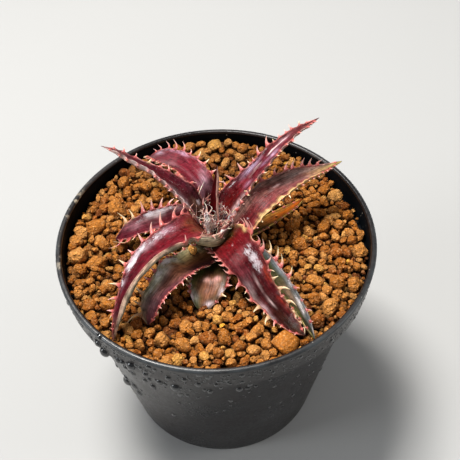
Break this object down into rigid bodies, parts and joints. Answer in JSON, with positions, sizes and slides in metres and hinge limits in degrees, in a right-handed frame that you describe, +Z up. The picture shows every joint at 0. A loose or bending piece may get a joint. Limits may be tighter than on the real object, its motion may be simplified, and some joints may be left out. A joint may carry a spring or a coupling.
{
  "type": "dyckia bromeliad",
  "caption": "Spiny dyckia bromeliad rosette rooted in coarse baked-clay granules, in a round tapered nursery pot with a collar band, a thin lip and drain holes.",
  "frame": {"origin": "centre of the pot's base, on the surface it stands on", "axes": "+Z up along the pot's axis and the needle leaf; +Y towards the back of the plant, between its two longest rising leaves"},
  "size_m": [0.105, 0.105, 0.1104],
  "materials": {
    "pot_plastic": "satin black moulded plastic, wet in places",
    "clay_granules": "matt, porous, ochre baked clay",
    "stem_bark": "rough, dry",
    "leaf_red": "waxy leaf, wine red with a grey bloom and coral spines",
    "leaf_olive": "waxy leaf, olive to maroon with a grey bloom and pink spines",
    "leaf_dry": "dry old leaf, yellow green to orange",
    "leaf_young": "young leaf with grey scurf and pink spines"
  },
  "bodies": {
    "root": {"pot": "pot_plastic", "potting_mix": "clay_granules", "granule_on_leaf": "clay_granules", "stem": "stem_bark", "leaf_front_left_upper": "leaf_red", "leaf_front_right_upper": "leaf_red", "leaf_back_left_long": "leaf_red", "leaf_back_left_broad": "leaf_red", "leaf_back_right_long": "leaf_red", "leaf_left": "leaf_red", "leaf_right": "leaf_red", "leaf_front_left_lower": "leaf_olive", "leaf_front_right_lower": "leaf_olive", "leaf_front_low": "leaf_olive", "leaf_right_old": "leaf_dry", "leaf_centre_needle": "leaf_young", "leaf_crown_back_right": "leaf_young", "leaf_crown_back_left": "leaf_young", "leaf_crown_front_left": "leaf_young", "leaf_crown_right": "leaf_young", "leaf_crown_front": "leaf_young"}
  },
  "joints": []
}
